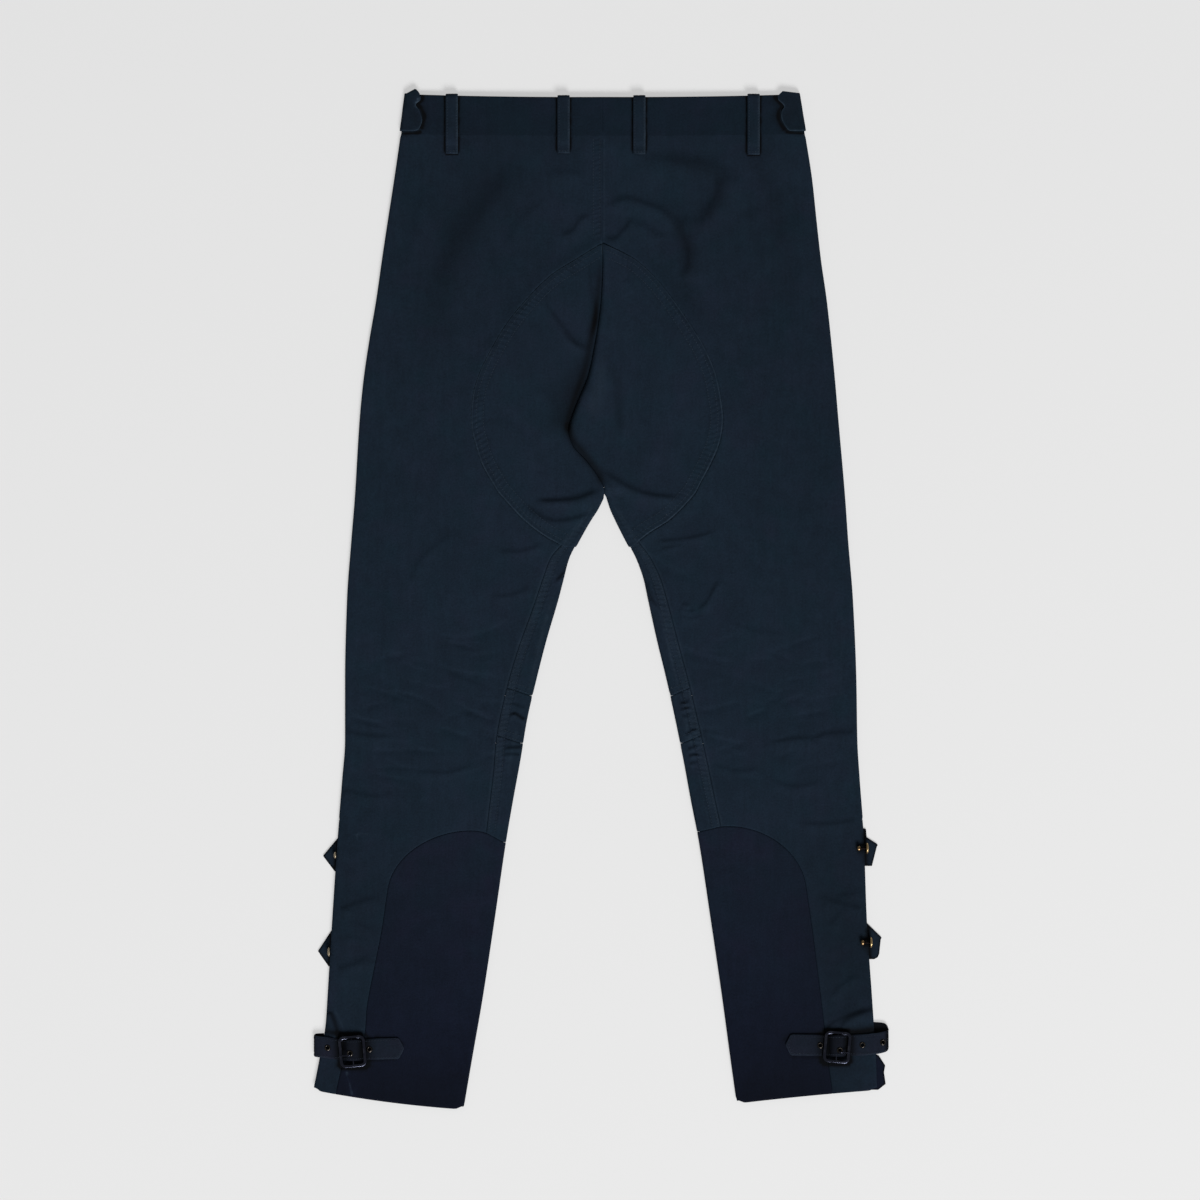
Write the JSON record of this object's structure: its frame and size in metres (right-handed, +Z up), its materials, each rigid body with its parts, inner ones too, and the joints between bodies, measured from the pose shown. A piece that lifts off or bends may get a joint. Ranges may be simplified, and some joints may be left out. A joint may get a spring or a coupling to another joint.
{
  "type": "biker pants",
  "caption": "Biker pants in dark cotton twill laid flat, back up, with belt loops, a large seat patch, calf patches, buckled ankle straps and vent tabs with buttons.",
  "frame": {"origin": "bottom centre of the bounding box, on the surface that the garment lies on", "axes": "+Y towards the waist, +Z up through the back of the garment, +X to the wearer's right as seen from behind"},
  "size_m": [0.5905, 1.0488, 0.0163],
  "materials": {
    "navy_twill": "matt dark navy cotton twill, lightly worn along its seams",
    "calf_twill": "matt twill, darker and a little more purple",
    "waistband_twill": "matt navy twill, doubled, a little darker",
    "strap_cloth": "matt dark webbing",
    "black_metal": "gloss black",
    "dark_bronze": "dark bronze, half gloss",
    "brass": "aged brass, half gloss"
  },
  "bodies": {
    "root": {"ankle_strap_left": "strap_cloth", "ankle_strap_right": "strap_cloth", "back_left": "navy_twill", "back_right": "navy_twill", "belt_loop_1": "waistband_twill", "belt_loop_2": "waistband_twill", "belt_loop_3": "waistband_twill", "belt_loop_4": "waistband_twill", "buckle_frame_left": "black_metal", "buckle_frame_right": "black_metal", "buckle_keeper_left": "strap_cloth", "buckle_keeper_right": "strap_cloth", "buckle_prong_left": "black_metal", "buckle_prong_right": "black_metal", "calf_patch_left": "calf_twill", "calf_patch_right": "calf_twill", "eyelet_left_1": "dark_bronze", "eyelet_left_2": "dark_bronze", "eyelet_left_3": "dark_bronze", "eyelet_right_1": "dark_bronze", "eyelet_right_2": "dark_bronze", "eyelet_right_3": "dark_bronze", "eyelet_right_4": "dark_bronze", "fly_shield": "navy_twill", "front_knee_left": "navy_twill", "front_knee_right": "navy_twill", "front_shin_left": "navy_twill", "front_shin_right": "navy_twill", "front_thigh_left": "navy_twill", "front_thigh_right": "navy_twill", "seat_patch_left": "navy_twill", "seat_patch_right": "navy_twill", "vent_button_lower_left": "brass", "vent_button_lower_right": "brass", "vent_button_upper_left": "brass", "vent_button_upper_right": "brass", "vent_tab_lower_left": "navy_twill", "vent_tab_lower_right": "navy_twill", "vent_tab_upper_left": "navy_twill", "vent_tab_upper_right": "navy_twill", "vent_underlap_left": "calf_twill", "vent_underlap_right": "calf_twill", "waist_tab_left": "waistband_twill", "waist_tab_right": "waistband_twill", "waistband_back_left": "waistband_twill", "waistband_back_right": "waistband_twill", "waistband_front_left": "waistband_twill", "waistband_front_right": "waistband_twill"}
  },
  "joints": []
}
